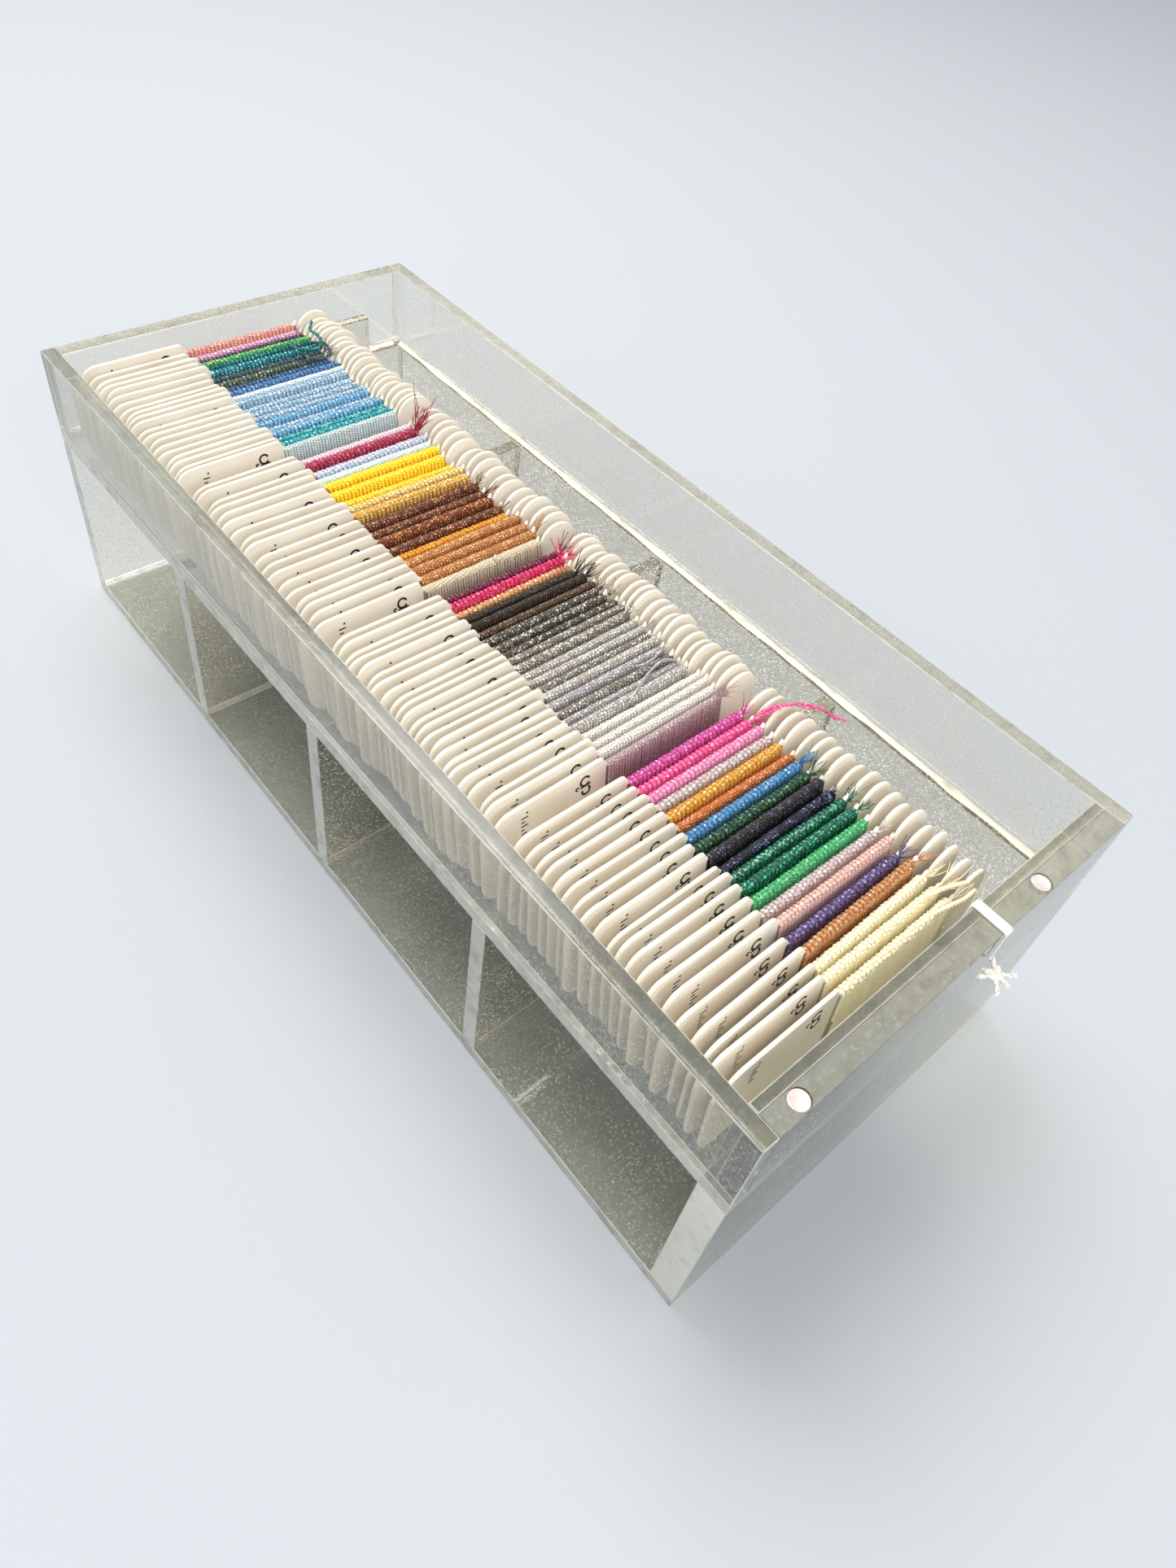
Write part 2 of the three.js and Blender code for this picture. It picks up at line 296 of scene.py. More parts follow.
CLEAR_SHEET = cast_sheet("clear_sheet", "#f1efe9", 0.6)
# Painted shade: the grey and near sheets are darker copies of the clear sheet, for the darker see-through
# look of the base floor, the front wall and the near end.
SHADED_GREY_SHEET = cast_sheet("shaded_grey_sheet", "#d4d4cd", 0.42)
SHADED_NEAR_SHEET = cast_sheet("shaded_near_sheet", "#a0a197", 0.8)
SAWN = worked_edge("sawn_edge", "#f6f4ea", "#cfd1c6", 0.5, 0.6)
# Painted shade: this rim is a greyer copy of the pale rim, for the mid-grey look of the front and near wall
# tops.
SHADED_FRONT_RIM = worked_edge("shaded_scraped_rim", "#cdcdc3", "#b8b9ae", 0.45, 0.9)
PALE_RIM = worked_edge("pale_rim", "#ebe9de", "#d2d2c5", 0.5, 0.8)
CEMENT = worked_edge("dried_cement", "#fffbea", "#e6e0cc", 0.5, 0.0)
CARD = card_stock()
INK = printing_ink()
BRAID = metallic_braid()
COTTON = soft_cotton()
NICKEL = plated_disc("nickel_disc", "#f4e9e2", "#dccbc2", 0.35, 0.3)
DARK_DISC = plated_disc("dark_disc", "#6a5c58", "#3d3433", 0.7, 0.35)


# ------------------------------------------------------------------ cotton tape and its knot
TAPE_Y = 12.5 * MM
TAPE_WIDTH = 2.8 * MM
TAPE_THICK = 0.7 * MM
TAPE_ROUTE = [
    (0.1595, 0.082), (0.1595, 0.088), (0.1595, 0.094), (0.1595, 0.1), (0.1595, 0.1044),
    (0.15953, 0.10505), (0.15968, 0.1054), (0.16, 0.1056), (0.1605, 0.10562), (0.163, 0.1056),
    (0.166, 0.1056), (0.1685, 0.10562), (0.169, 0.1056), (0.16932, 0.1054), (0.16947, 0.10505),
    (0.1695, 0.1044), (0.1695, 0.099), (0.1695, 0.0935),
]
TAPE_GATHERS_AT = 0.74      # share of its length after which the tape is drawn together towards the knot


def route_length(points):
    return sum((b - a).length for a, b in zip(points, points[1:]))


def resample(points, step):
    """Points a fixed step apart along a smooth curve through the given ones."""
    dense = []
    padded = [2 * points[0] - points[1], *points, 2 * points[-1] - points[-2]]
    for a, b, c, d in zip(padded, padded[1:], padded[2:], padded[3:]):
        for part in range(8):
            t = part / 8
            dense.append(0.5 * ((2 * b) + (c - a) * t + (2 * a - 5 * b + 4 * c - d) * t * t
                                + (3 * b - a - 3 * c + d) * t ** 3))
    dense.append(points[-1])
    total = route_length(dense)
    count = max(2, round(total / step))
    made, at, done = [], 0, 0.0
    for index in range(count + 1):
        goal = total * index / count
        while at < len(dense) - 2 and done + (dense[at + 1] - dense[at]).length < goal:
            done += (dense[at + 1] - dense[at]).length
            at += 1
        span = (dense[at + 1] - dense[at]).length
        made.append(dense[at].lerp(dense[at + 1], min(1.0, (goal - done) / span) if span else 0.0))
    return made


def skin(bm, rings):
    """Closes a row of rings of vertices into one body."""
    count = len(rings[0])
    for low, high in zip(rings, rings[1:]):
        for at in range(count):
            after = (at + 1) % count
            bm.faces.new((low[at], low[after], high[after], high[at]))
    bm.faces.new(list(reversed(rings[0])))
    bm.faces.new(rings[-1])


def sweep(bm, points, section, across=None, taper=None):
    """Sweeps a closed section along points; the section's first number runs along across."""
    rings = []
    side = across
    for index, point in enumerate(points):
        ahead = points[min(index + 1, len(points) - 1)] - points[max(index - 1, 0)]
        ahead.normalize()
        if side is None:
            side = ahead.orthogonal()
        side = (side - ahead * side.dot(ahead)).normalized()
        up = ahead.cross(side)
        size = taper(index / (len(points) - 1)) if taper else 1.0
        rings.append([bm.verts.new(point + (side * u + up * v) * size) for u, v in section(index)])
    skin(bm, rings)


def round_section(radius, sides):
    turns = [math.tau * at / sides for at in range(sides)]
    return lambda index: [(radius * math.cos(turn), radius * math.sin(turn)) for turn in turns]


def tape_section(index):
    """A flat woven band: six warp ribs across its width, and a weft that swells and pinches them."""
    ribs = 6
    swell = 1.0 + 0.10 * (-1) ** index
    half = TAPE_WIDTH / 2
    face = []
    for at in range(ribs * 2 + 1):
        across = -half + TAPE_WIDTH * at / (ribs * 2)
        high = TAPE_THICK / 2 * (0.98 if at % 2 else 0.72) * (swell if at % 2 else 1.0)
        face.append((across, high))
    return [(u, -v) for u, v in face] + [(u, v) for u, v in reversed(face)]


def make_tape():
    route = resample([Vector((x, TAPE_Y, z)) for x, z in TAPE_ROUTE], 0.45 * MM)
    bm = bmesh.new()
    sweep(bm, route, tape_section, across=Vector((0, 1, 0)),
          taper=lambda part: 1.0 - 0.62 * min(1.0, max(0.0, part - TAPE_GATHERS_AT) / 0.06))
    bmesh.ops.recalc_face_normals(bm, faces=bm.faces)
    mesh = bm_to_mesh("string_tape_weave", bm)
    shade_smooth(mesh, 70)
    tape = new_piece("string_tape_weave", mesh, "tray", [COTTON])
    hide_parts("string_tape")
    return tape, route


def make_knot():
    """An overhand knot with six short cut tails of two-ply string."""
    low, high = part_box("string_knot")
    middle = (low + high) / 2
    size = (high - low) / 2
    bm = bmesh.new()
    turns = [math.tau * at / 40 for at in range(41)]
    loop = [middle + Vector((
        size.x * 0.62 * math.cos(3 * turn) * 0.6,
        size.y * 0.52 * (math.sin(turn) + 0.9 * math.sin(2 * turn)) * 0.62,
        size.z * 0.52 * (math.cos(turn) - 0.9 * math.cos(2 * turn)) * 0.62)) for turn in turns]
    strand = 0.8 * MM
    sweep(bm, loop, round_section(strand, 8))
    tails = [
        [(0, 0.2, 0.4), (1.2, 0.6, 1.2), (2.2, 1.6, 1.3), (3.6, 2.4, 2.2)],
        [(0, -0.3, 0), (1.0, -0.1, 0.6), (2.4, 0.4, -0.2), (4.0, 0.3, -0.4)],
        [(0, -0.4, -0.4), (1.2, -0.9, -0.6), (2.4, -1.4, -1.8), (3.4, -2.6, -2.4)],
        [(-0.4, -0.4, 0.2), (-0.8, -2.0, 1.0), (-1.4, -3.4, 1.0), (-2.1, -5.0, 1.4)],
        [(-0.6, -0.6, 0.8), (-0.8, -1.4, 2.0), (-1.6, -2.6, 2.2), (-2.2, -3.6, 3.2)],
        [(-0.4, 0.2, 0.4), (-1.2, 0.4, 1.6), (-2.2, 0.5, 2.6), (-2.8, 0.2, 3.9)],
    ]
    for seed, tail in enumerate(tails):
        middle_line = resample([middle + Vector(point) * MM for point in tail], 0.35 * MM)
        two_ply(bm, middle_line, strand * 0.52, seed)
    bmesh.ops.recalc_face_normals(bm, faces=bm.faces)
    mesh = bm_to_mesh("string_knot_tails", bm)
    shade_smooth(mesh, 70)
    knot = new_piece("string_knot_tails", mesh, "tray", [COTTON])
    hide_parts("string_knot")
    return knot


def two_ply(bm, line, radius, seed, lay=2.4 * MM):
    """Two plies twisted about a line, a little thinner at their cut end."""
    for ply in range(2):
        points = []
        done = 0.0
        for index, point in enumerate(line):
            if index:
                done += (line[index] - line[index - 1]).length
            ahead = (line[min(index + 1, len(line) - 1)] - line[max(index - 1, 0)]).normalized()
            side = ahead.orthogonal().normalized()
            turn = math.tau * (done / lay + ply / 2) + seed
            offset = side * math.cos(turn) + ahead.cross(side) * math.sin(turn)
            points.append(point + offset * radius * 0.95)
        sweep(bm, points, round_section(radius, 6),
              taper=lambda part: 1.0 - 0.3 * max(0.0, part - 0.85) / 0.15)


tape, tape_path = make_tape()
knot = make_knot()


# ------------------------------------------------------------------ stage and light
LIGHT_BOUNCES = 24      # a line of sight along the box crosses up to a dozen faces of clear sheet


def make_stage():
    bpy.ops.mesh.primitive_plane_add(size=12)
    floor = bpy.context.object
    floor.name = "studio_floor"
    material, nodes = new_material("studio_floor")
    plain = nodes.add("ShaderNodeBsdfPrincipled", {"Base Color": linear("#bdc1c5"), "Roughness": 0.9})
    plain.inputs["Specular IOR Level"].default_value = 0.1
    finish_material(nodes, plain.outputs[0])
    floor.data.materials.append(material)


def area_light(name, place, aim, size, power, colour):
    data = bpy.data.lights.new(name, "AREA")
    data.shape = "DISK"
    data.size = size
    data.energy = power
    data.color = colour
    light = new_object(name, data)
    light.location = place
    light.rotation_euler = (Vector(aim) - Vector(place)).to_track_quat("-Z", "Y").to_euler()


def make_light():
    world = bpy.data.worlds.new("studio")
    world.use_nodes = True
    world.node_tree.nodes["Background"].inputs["Color"].default_value = linear("#e6ebef")
    world.node_tree.nodes["Background"].inputs["Strength"].default_value = 0.75
    bpy.context.scene.world = world
    area_light("soft_key", (-0.7, 0.1, 1.5), (0, 0, 0.05), 1.1, 23.2, (1.0, 0.98, 0.95))
    area_light("soft_fill", (0.6, -1.1, 1.0), (0, 0, 0.05), 1.2, 7, (0.95, 0.98, 1.0))
    area_light("end_fill", (1.3, -0.2, 0.7), (0.1, 0, 0.05), 0.8, 6, (1.0, 0.99, 0.97))
    bpy.context.scene.view_settings.view_transform = "Standard"
    for limit in ("max_bounces", "transmission_bounces", "transparent_max_bounces"):
        setattr(bpy.context.scene.cycles, limit, LIGHT_BOUNCES)


make_stage()
make_light()


# ------------------------------------------------------------------ acrylic panels
BEVEL = 0.3 * MM
SEAM = 0.02 * MM        # a cemented joint, so that two sheets never share one face
POCKET_CLEARANCE = 0.08 * MM
MAGNET_SIDES = 48
X_AXIS, Y_AXIS, Z_AXIS = 0, 1, 2


def stood_along(axis):
    """Turns what was made about the z axis to stand along x or z."""
    return Matrix.Rotation(math.pi / 2, 4, "Y") if axis == X_AXIS else Matrix.Identity(4)


def bevelled_box(low, high):
    bm = bmesh.new()
    bmesh.ops.create_cube(bm, size=1)
    size = high - low - Vector((SEAM, SEAM, SEAM)) * 2
    put = Matrix.Translation((low + high) / 2) @ Matrix.Diagonal((*size, 1))
    bmesh.ops.transform(bm, matrix=put, verts=bm.verts)
    bmesh.ops.bevel(bm, geom=bm.edges[:], offset=BEVEL, segments=2, profile=0.6, affect="EDGES")
    return bm_to_mesh("box", bm)


def acrylic_panel(node, body, thin_axis, sheet, rim, front):
    """A sheet over a CAD panel: two polished broad faces, a worked rim and front edge, and sawn corners."""
    mesh = bevelled_box(*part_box(node))
    mesh.name = node + "_sheet"
    on_sheet, on_rim, on_front, on_corner = range(4)
    for face in mesh.polygons:
        face.material_index = on_sheet
        if max(abs(part) for part in face.normal) < 0.99:
            face.material_index = on_corner
        elif abs(face.normal[thin_axis]) < 0.9:
            face.material_index = on_front if face.normal.y < -0.9 else on_rim
    piece = new_piece(mesh.name, mesh, body, [sheet, rim, front, SAWN])
    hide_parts(node)


def bored_block(node, body, magnets, axis, sheet, rim):
    """A thick block of acrylic with a round blind pocket for each magnet, open along one axis."""
    low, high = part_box(node)
    block = new_object("block", bevelled_box(low, high))
    cutters = []
    for magnet in magnets:
        bottom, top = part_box(magnet)
        middle = (bottom + top) / 2
        depth = high[axis] + 1 * MM - bottom[axis] + SEAM
        middle[axis] = bottom[axis] - SEAM + depth / 2
        radius = max((top - bottom)[side] for side in range(3) if side != axis) / 2 + POCKET_CLEARANCE
        bm = bmesh.new()
        bmesh.ops.create_cone(bm, cap_ends=True, segments=MAGNET_SIDES, radius1=radius, radius2=radius,
                              depth=depth, matrix=Matrix.Translation(middle) @ stood_along(axis))
        cutter = new_object("cutter", bm_to_mesh("cutter", bm))
        bore = block.modifiers.new("bore", "BOOLEAN")
        bore.operation = "DIFFERENCE"
        bore.solver = "EXACT"
        bore.object = cutter
        cutters.append(cutter)
    view = bpy.context.evaluated_depsgraph_get()
    mesh = bpy.data.meshes.new_from_object(block.evaluated_get(view), depsgraph=view)
    for spent in [block, *cutters]:
        bpy.data.objects.remove(spent)
    mesh.name = node + "_block"
    mesh.materials.clear()
    for face in mesh.polygons:
        on_top = face.normal[axis] > 0.9 and face.center[axis] > high[axis] - 1 * MM
        face.material_index = 1 if on_top else 0
    piece = new_piece(mesh.name, mesh, body, [sheet, rim])
    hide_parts(node)


def cement_line(name, start, end, inward):
    """A pale fillet of cement along the inner corner between the tray's floor and a wall."""
    ahead = (end - start).normalized()
    section = [(0.02, 0.02), (1.3, 0.02), (0.7, 0.35), (0.35, 0.7), (0.02, 1.3)]
    steps = 40
    bm = bmesh.new()
    rings = []
    for step in range(steps + 1):
        along = start + ahead * (end - start).length * step / steps
        swell = 1.0 + 0.25 * math.sin(step * 2.3) + 0.15 * math.sin(step * 5.1)
        corners = [along + (inward * u + Vector((0, 0, v))) * swell * MM for u, v in section]
        rings.append([bm.verts.new(corner) for corner in corners])
    skin(bm, rings)
    bmesh.ops.recalc_face_normals(bm, faces=bm.faces)
    mesh = bm_to_mesh(name, bm)
    shade_smooth(mesh, 50)
    new_piece(name, mesh, "tray", [CEMENT])


# The base floor, front wall and near end take the darker sheet copies and the greyer rim: painted shade.
acrylic_panel("base_floor", "base", Z_AXIS, SHADED_GREY_SHEET, PALE_RIM, SAWN)
acrylic_panel("base_far_panel", "base", X_AXIS, CLEAR_SHEET, PALE_RIM, SAWN)
acrylic_panel("base_near_panel", "base", X_AXIS, SHADED_NEAR_SHEET, PALE_RIM, SAWN)
acrylic_panel("base_back_panel", "base", Y_AXIS, CLEAR_SHEET, PALE_RIM, PALE_RIM)
for number in (1, 2, 3):
    acrylic_panel(f"base_divider_{number}", "base", X_AXIS, CLEAR_SHEET, PALE_RIM, SAWN)
acrylic_panel("tray_floor", "tray", Z_AXIS, CLEAR_SHEET, PALE_RIM, SAWN)
acrylic_panel("tray_front_wall", "tray", Y_AXIS, SHADED_GREY_SHEET, SHADED_FRONT_RIM, SHADED_FRONT_RIM)
acrylic_panel("tray_back_wall", "tray", Y_AXIS, CLEAR_SHEET, PALE_RIM, PALE_RIM)
acrylic_panel("tray_far_wall", "tray", X_AXIS, CLEAR_SHEET, PALE_RIM, PALE_RIM)
acrylic_panel("tray_near_wall", "tray", X_AXIS, SHADED_NEAR_SHEET, SHADED_FRONT_RIM, SHADED_FRONT_RIM)
bored_block("tray_end_block", "tray", ["end_magnet_front", "end_magnet_back"], Z_AXIS, SHADED_NEAR_SHEET, PALE_RIM)
bored_block("far_stop_block", "tray", ["far_stop_magnet"], X_AXIS, CLEAR_SHEET, CLEAR_SHEET)
TRAY_LOW, TRAY_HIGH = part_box("tray_floor")
BACK_WALL_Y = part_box("tray_back_wall")[0].y
FAR_WALL_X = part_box("tray_far_wall")[1].x
cement_line("back_cement", Vector((TRAY_LOW.x + 8 * MM, BACK_WALL_Y, TRAY_HIGH.z)),
            Vector((TRAY_HIGH.x - 10 * MM, BACK_WALL_Y, TRAY_HIGH.z)), Vector((0, -1, 0)))
cement_line("far_cement", Vector((FAR_WALL_X, -60 * MM, TRAY_HIGH.z)),
            Vector((FAR_WALL_X, 64 * MM, TRAY_HIGH.z)), Vector((1, 0, 0)))


# ------------------------------------------------------------------ magnets
def disc_magnet(node, name, axis, material):
    """A plated disc: a turned rim with a rounded edge and a shallow step round its face."""
    low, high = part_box(node)
    middle = (low + high) / 2
    half = (high - low) / 2
    thick = half[axis]
    radius = max(half)
    edge = 0.25 * MM
    profile = [(0, thick * 0.97), (radius * 0.8, thick * 0.97), (radius * 0.84, thick),
               (radius - edge, thick), (radius - edge * 0.3, thick - edge * 0.3),
               (radius, thick - edge), (radius, edge - thick),
               (radius - edge * 0.3, edge * 0.3 - thick), (radius - edge, -thick), (0, -thick)]
    bm = bmesh.new()
    verts = [bm.verts.new((r, 0, z)) for r, z in profile]
    edges = [bm.edges.new(pair) for pair in zip(verts, verts[1:])]
    bmesh.ops.spin(bm, geom=verts + edges, cent=(0, 0, 0), axis=(0, 0, 1), angle=math.tau,
                   steps=MAGNET_SIDES, use_merge=True)
    bmesh.ops.remove_doubles(bm, verts=bm.verts, dist=0.001 * MM)
    bmesh.ops.transform(bm, matrix=Matrix.Translation(middle) @ stood_along(axis), verts=bm.verts)
    bmesh.ops.recalc_face_normals(bm, faces=bm.faces)
    mesh = bm_to_mesh(name, bm)
    shade_smooth(mesh, 30)
    piece = new_piece(name, mesh, "tray", [material])
    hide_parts(node)


disc_magnet("end_magnet_front", "end_disc_front", Z_AXIS, NICKEL)
disc_magnet("end_magnet_back", "end_disc_back", Z_AXIS, NICKEL)
disc_magnet("far_stop_magnet", "far_disc", X_AXIS, DARK_DISC)


# ------------------------------------------------------------------ thread colours
# Each thread: its own colour, the colour of its painted glints (painted highlights on its foil), and how much
# foil it holds, which also sets how often the painted glints show.
THREADS = {
    "salmon": ("#e09a8c", "#ffd9c8", 0.5), "pearl_pink": ("#d9a2ba", "#fff0f4", 0.7),
    "plum": ("#30223c", "#8c79b8", 0.4), "lime_teal": ("#2f9a62", "#d8f06a", 0.9),
    "deep_teal": ("#0e5f5c", "#62d0c0", 0.6), "teal": ("#16707b", "#8ce3e6", 0.8),
    "slate": ("#364650", "#8fa9b4", 0.5), "olive": ("#46564a", "#b9c79b", 0.5),
    "navy": ("#35537c", "#7ea2dc", 0.5), "cobalt": ("#44719c", "#9cc2f0", 0.6),
    "ice": ("#d3deea", "#ffffff", 0.5), "steel_blue": ("#90b0c6", "#f2f8ff", 0.9),
    "sky": ("#68a2c6", "#dff0ff", 0.7), "turquoise": ("#2a969e", "#9df0ec", 0.7),
    "mint_grey": ("#bfcfcb", "#f4fbf8", 0.3), "blush": ("#e6cad3", "#fff7f8", 0.6),
    "crimson": ("#a02240", "#f28ca0", 0.5), "silver_lavender": ("#c0c3d4", "#ffffff", 0.8),
    "mint_white": ("#d3e3de", "#ffffff", 0.5), "yellow": ("#ffd21c", "#fff27a", 0.35),
    "light_gold": ("#e4c26e", "#fff3c4", 0.8), "gold": ("#cf9c40", "#ffe9a6", 0.8),
    "bronze": ("#5c301e", "#e09a62", 0.7), "copper_brown": ("#6e3319", "#f2a868", 0.8),
    "amber": ("#d98a10", "#ffd35a", 0.6), "copper": ("#b4743c", "#ffc890", 0.8),
    "beige": ("#d2c0a4", "#f3e6ce", 0.4), "burgundy": ("#661c38", "#c0607e", 0.5),
    "hot_pink": ("#d4225e", "#ff9dbb", 0.5), "peach_copper": ("#d4955f", "#ffe2be", 0.8),
    "black": ("#2e2418", "#6e5f4c", 0.4), "bark": ("#4e3a26", "#a98c72", 0.6),
    "pewter": ("#574f43", "#efe6d8", 0.7), "steel": ("#827a6c", "#f8f2ea", 0.8),
    "silver": ("#b0a79b", "#ffffff", 0.9), "lavender_grey": ("#aaa2a2", "#f8f4f4", 0.7),
    "silver_white": ("#e3dccf", "#ffffff", 0.9), "mauve": ("#b29897", "#e8d6d6", 0.4),
    "magenta": ("#c84a92", "#f7b0de", 0.5), "rose": ("#ee5c96", "#ffb4cc", 0.5),
    "pink": ("#ea8cb4", "#ffdbe7", 0.5), "silver_pink": ("#c4b0ae", "#fff6f2", 0.9),
    "orange_gold": ("#d59632", "#ffe29a", 0.6), "thin_copper": ("#c46c34", "#ffc79a", 0.6),
    "azure": ("#4a82ae", "#b0d8f8", 0.6), "forest": ("#22432e", "#7fb68c", 0.6),
    "ink": ("#262320", "#77759a", 0.4), "midnight": ("#1f1f28", "#8088c0", 0.5),
    "emerald": ("#1a5c48", "#6ad8a6", 0.7), "bright_green": ("#47a968", "#b4efc4", 0.4),
    "peach_pink": ("#e0b4a8", "#ffede6", 0.4), "purple": ("#5c4c74", "#b9a4e4", 0.7),
    "copper_tan": ("#bd8050", "#ffd3a6", 0.6), "cream": ("#fbf0cc", "#fffbe8", 0.0),
}

# The threads wound from thin braid; every other one is a medium braid with coarser turns.
FINE_BRAIDS = ("pewter steel silver lavender_grey silver_white black bark bronze copper_brown copper "
               "mauve beige thin_copper ink midnight ice mint_grey mint_white").split()

# Each bay from the far end: how far in mm its last cards have slumped towards the far end, how many
# cards each of its bobbins nodes holds, and the thread on each card.
BAYS = [
    (0.8, [2] * 9 + [3],
     "salmon pearl_pink plum lime_teal deep_teal teal slate olive navy cobalt ice steel_blue steel_blue "
     "steel_blue steel_blue sky steel_blue sky turquoise turquoise mint_grey"),
    (0.8, [2] * 9,
     "blush crimson silver_lavender mint_white yellow yellow yellow light_gold gold bronze bronze "
     "copper_brown bronze amber copper copper copper beige"),
    (0.8, [2] * 10 + [3],
     "burgundy hot_pink peach_copper black black bark pewter pewter pewter steel steel silver silver "
     "steel silver lavender_grey steel lavender_grey silver silver_white silver_white silver_white mauve"),
    (-1.3, [2] * 10,
     "magenta rose pink silver_pink orange_gold thin_copper azure forest ink midnight emerald emerald "
     "bright_green silver_pink peach_pink purple copper_tan cream cream cream"),
]


def card_places():
    """Every card in order: its body, its number, its thread, the room it has and its middle."""
    places = []
    node = 0
    for slump, joined, threads in BAYS:
        threads = threads.split()
        boxes = [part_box(f"bobbins_{node + step + 1:02d}") for step in range(2)]
        pitch = (boxes[1][0].x - boxes[0][0].x) / joined[0]
        done = 0
        for count in joined:
            node += 1
            body = f"bobbins_{node:02d}"
            low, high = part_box(body)
            for at in range(count):
                middle = (low + high) / 2
                middle.x += (at - (count - 1) / 2) * pitch
                places.append({"body": body, "number": len(places) + 1, "thread": threads[done],
                               "pitch": pitch, "middle": middle, "slump": slump,
                               "part": done / (sum(joined) - 1)})
                done += 1
    return places


LIFT_AXIS = Vector(next(joint["axis"] for joint in frame["joints"] if joint["child"] == "bobbins_01"))
LEAN = -LIFT_AXIS.x / LIFT_AXIS.z
CARD_LOW, CARD_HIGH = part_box("bobbins_01")
CARD_LENGTH = CARD_HIGH.y - CARD_LOW.y
CARD_HEIGHT = CARD_HIGH.z - CARD_LOW.z
CARD_THICK = 1.0 * MM
HEAD = 37 * MM
TONGUE = 15 * MM
WINDING_HEIGHT = 23.4 * MM


def arc(centre, radius, start, end, steps):
    turns = [math.radians(start + (end - start) * at / steps) for at in range(steps + 1)]
    return [(centre[0] + radius * math.cos(turn), centre[1] + radius * math.sin(turn)) for turn in turns]


def card_outline():
    """A head with round corners, a narrow waist under the thread and a round-ended tongue."""
    height = CARD_HEIGHT / 2
    front = -CARD_LENGTH / 2
    back = CARD_LENGTH / 2
    waist = height - 3.4 * MM
    outer, inner, slope, tip = 6 * MM, 2 * MM, 1.5 * MM, TONGUE / 2
    lower = arc((front + outer, outer - height), outer, 180, 270, 6)
    lower += arc((front + HEAD - inner, inner - height), inner, 270, 360, 4)
    lower += [(front + HEAD, -waist - slope), (front + HEAD + slope, -waist)]
    lower += [(back - TONGUE - slope, -waist), (back - TONGUE, -waist - slope)]
    lower += arc((back - tip, tip - height), tip, 180, 270, 6)[1:]
    lower += arc((back - tip, tip - height), tip, 270, 360, 6)[1:]
    return lower + [(y, -z) for y, z in reversed(lower)]


def blank_card():
    """One die-cut card, flat in y and z about its middle, with its cut rim slightly rounded."""
    bm = bmesh.new()
    rim = [bm.verts.new((-CARD_THICK / 2, y, z)) for y, z in card_outline()]
    face = bm.faces.new(rim)
    made = bmesh.ops.extrude_face_region(bm, geom=[face])
    moved = [item for item in made["geom"] if isinstance(item, bmesh.types.BMVert)]
    bmesh.ops.translate(bm, verts=moved, vec=(CARD_THICK, 0, 0))
    bmesh.ops.recalc_face_normals(bm, faces=bm.faces)
    edges = [edge for edge in bm.edges if abs(edge.verts[0].co.x - edge.verts[1].co.x) < CARD_THICK / 2]
    bmesh.ops.bevel(bm, geom=edges, offset=0.22 * MM, segments=2, affect="EDGES")
    return bm_to_mesh("blank_card", bm)


def printed_shape(bm, outline, lift):
    """A printed mark as a thin raised film on the face of a card."""
    low = [bm.verts.new((CARD_THICK / 2 - 0.02 * MM, y, z)) for y, z in outline]
    high = [bm.verts.new((CARD_THICK / 2 + lift, y, z)) for y, z in outline]
    count = len(outline)
    for at in range(count):
        after = (at + 1) % count
        bm.faces.new((low[at], low[after], high[after], high[at])).material_index = 1
    bm.faces.new(high).material_index = 1
    bm.faces.new(list(reversed(low))).material_index = 1


def bar(start, end, wide):
    """A straight stroke from start to end."""
    a, b = Vector(start), Vector(end)
    side = (b - a).normalized().orthogonal() * wide / 2
    return [tuple(a + side), tuple(a - side), tuple(b - side), tuple(b + side)]


def bent_stroke(centre, radius, start, end, wide):
    """A stroke along part of a circle, from one angle in degrees to another."""
    outer = arc(centre, radius + wide / 2, start, end, 12)
    inner = arc(centre, radius - wide / 2, start, end, 12)
    return outer + inner[::-1]


def print_marks():
    """Made-up marks near the top of a card: tally strokes at its outer end, a hook and ring by the thread."""
    film = 0.03 * MM
    tally, ring = 9, 30     # mm from the card's outer end

    def at(along, down):
        return (along * MM - CARD_LENGTH / 2, CARD_HEIGHT / 2 - down * MM)

    strokes = []
    for step, reach in enumerate((2.2, 1.3, 2.2, 1.0, 1.8)):
        down = 4.2 + 1.35 * step
        strokes.append(bar(at(tally, down), at(tally + reach, down), 0.42 * MM))
    strokes.append(bar(at(tally + 1.6, 2.8), at(tally + 2.2, 2.8), 0.6 * MM))
    strokes.append(bent_stroke(at(ring, 4.2), 1.5 * MM, 20, 330, 0.7 * MM))
    strokes.append(bent_stroke(at(ring + 0.4, 7.6), 1.3 * MM, -200, 60, 0.7 * MM))
    strokes.append(bar(at(ring - 1.6, 6.0), at(ring + 2.0, 5.8), 0.5 * MM))
    strokes.append(bent_stroke(at(ring - 2.6, 5.6), 0.45 * MM, 0, 300, 0.5 * MM))
    bm = bmesh.new()
    for stroke in strokes:
        printed_shape(bm, stroke, film)
    bmesh.ops.recalc_face_normals(bm, faces=bm.faces)
    return bm_to_mesh("print_marks", bm)


# ------------------------------------------------------------------ wound thread
STEPS_A_TURN = 12
STRAND_SIDES = 5


